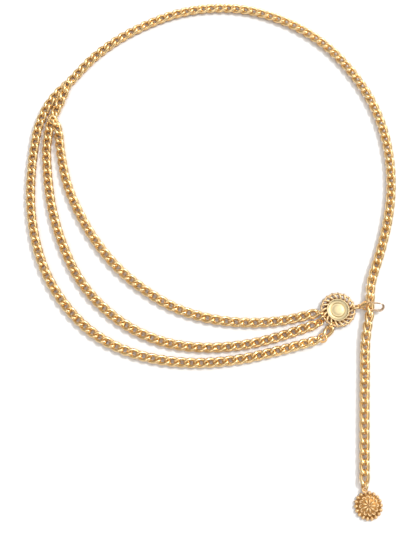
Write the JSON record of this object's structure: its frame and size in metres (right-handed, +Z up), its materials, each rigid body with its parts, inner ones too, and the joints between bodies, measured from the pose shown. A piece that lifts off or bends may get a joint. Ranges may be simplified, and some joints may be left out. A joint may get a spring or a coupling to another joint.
{
  "type": "waist chain",
  "caption": "Curb chain waist belt lying flat in a loop, three strands at the front, pierced medallion, hook clasp and a tail with a domed flower pendant.",
  "frame": {"origin": "middle of the medallion's flat back, which rests on the table", "axes": "+Z up from the table; +Y away from the pendant's tail towards the far side of the loop, the object's longest way; +X to the right, from the three strands to the clasp"},
  "size_m": [0.2673, 0.3819, 0.0083],
  "materials": {
    "gold": "polished gold plating",
    "pale_gold": "polished pale gold plating",
    "deep_gold": "polished deep gold plating",
    "champagne_gold": "polished champagne gold plating"
  },
  "bodies": {
    "root": {"main_chain": "gold", "outer_strand": "gold", "middle_strand": "gold", "inner_strand": "gold", "medallion": "pale_gold", "inner_ring": "gold", "middle_ring": "deep_gold", "middle_rim_ring": "gold", "outer_ring": "deep_gold", "outer_link": "gold", "outer_rim_ring": "gold", "clasp_ring": "gold", "clasp_body": "champagne_gold", "pendant_ring": "gold", "pendant": "deep_gold"},
    "lever": {"clasp_lever": "champagne_gold"}
  },
  "joints": [
    {"name": "lever_hinge", "type": "hinge", "parent": "root", "child": "lever", "pos_m": [0.01802, 0.00376, 0.00644], "axis": [0.0739, 0.7155, -0.6947], "range_deg": [0, 10], "stiffness_Nm_per_rad": 0.004, "springref_deg": -17.19}
  ]
}
